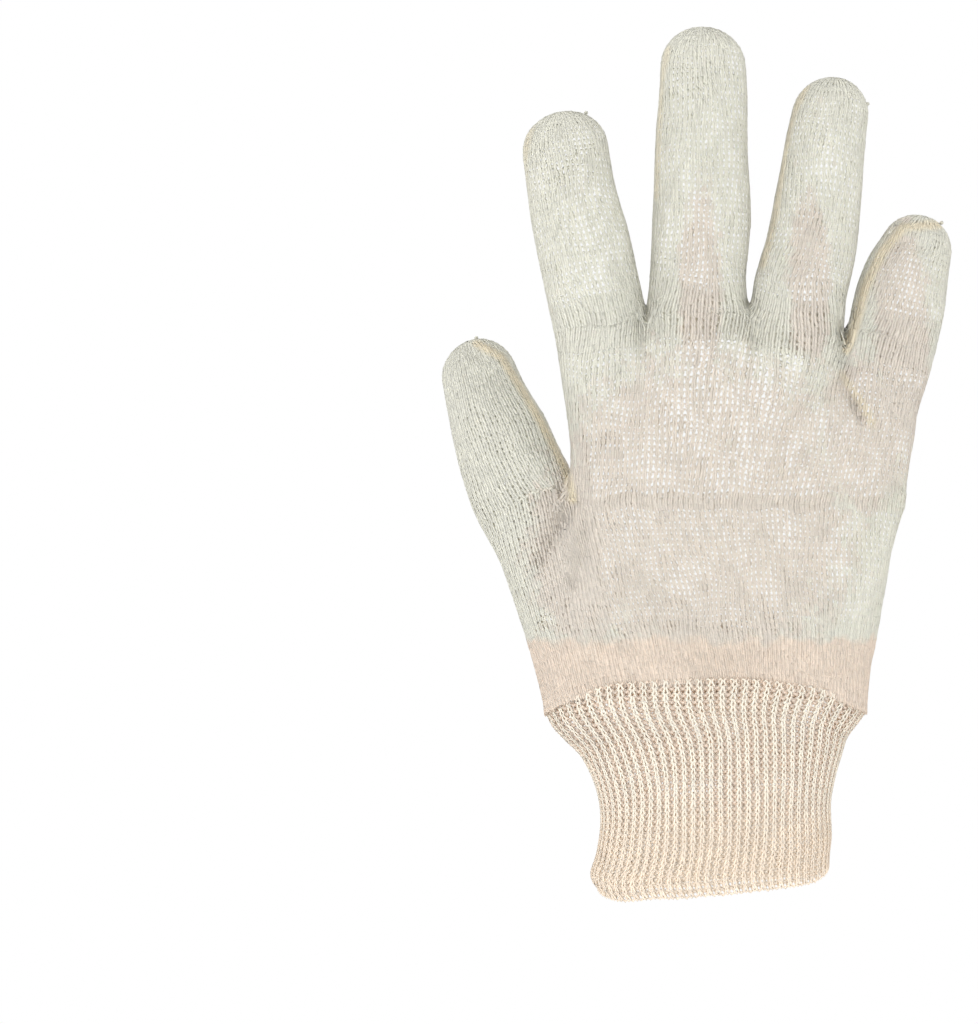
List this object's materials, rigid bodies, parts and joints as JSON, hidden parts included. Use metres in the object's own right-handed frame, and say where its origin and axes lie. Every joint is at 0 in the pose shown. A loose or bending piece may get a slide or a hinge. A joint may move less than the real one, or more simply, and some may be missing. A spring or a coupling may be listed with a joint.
{
  "type": "knit glove",
  "caption": "Thin machine-knit glove for the right hand, held open as when worn, with spread fingers and a ribbed wrist cuff.",
  "frame": {"origin": "centre of the wrist opening, at the lower edge of the cuff", "axes": "+Z along the hand towards the fingertips, -Y towards the back of the hand, thumb on the -X side"},
  "size_m": [0.1456, 0.0589, 0.2471],
  "materials": {
    "knit": "fine matt jersey knit in off-white yarn, slightly open",
    "rib_knit": "matt 1x1 rib knit in cream yarn"
  },
  "bodies": {
    "root": {"hand_body": "knit", "index_finger": "knit", "middle_finger": "knit", "ring_finger": "knit", "little_finger": "knit", "thumb": "knit", "cuff": "rib_knit"}
  },
  "joints": []
}
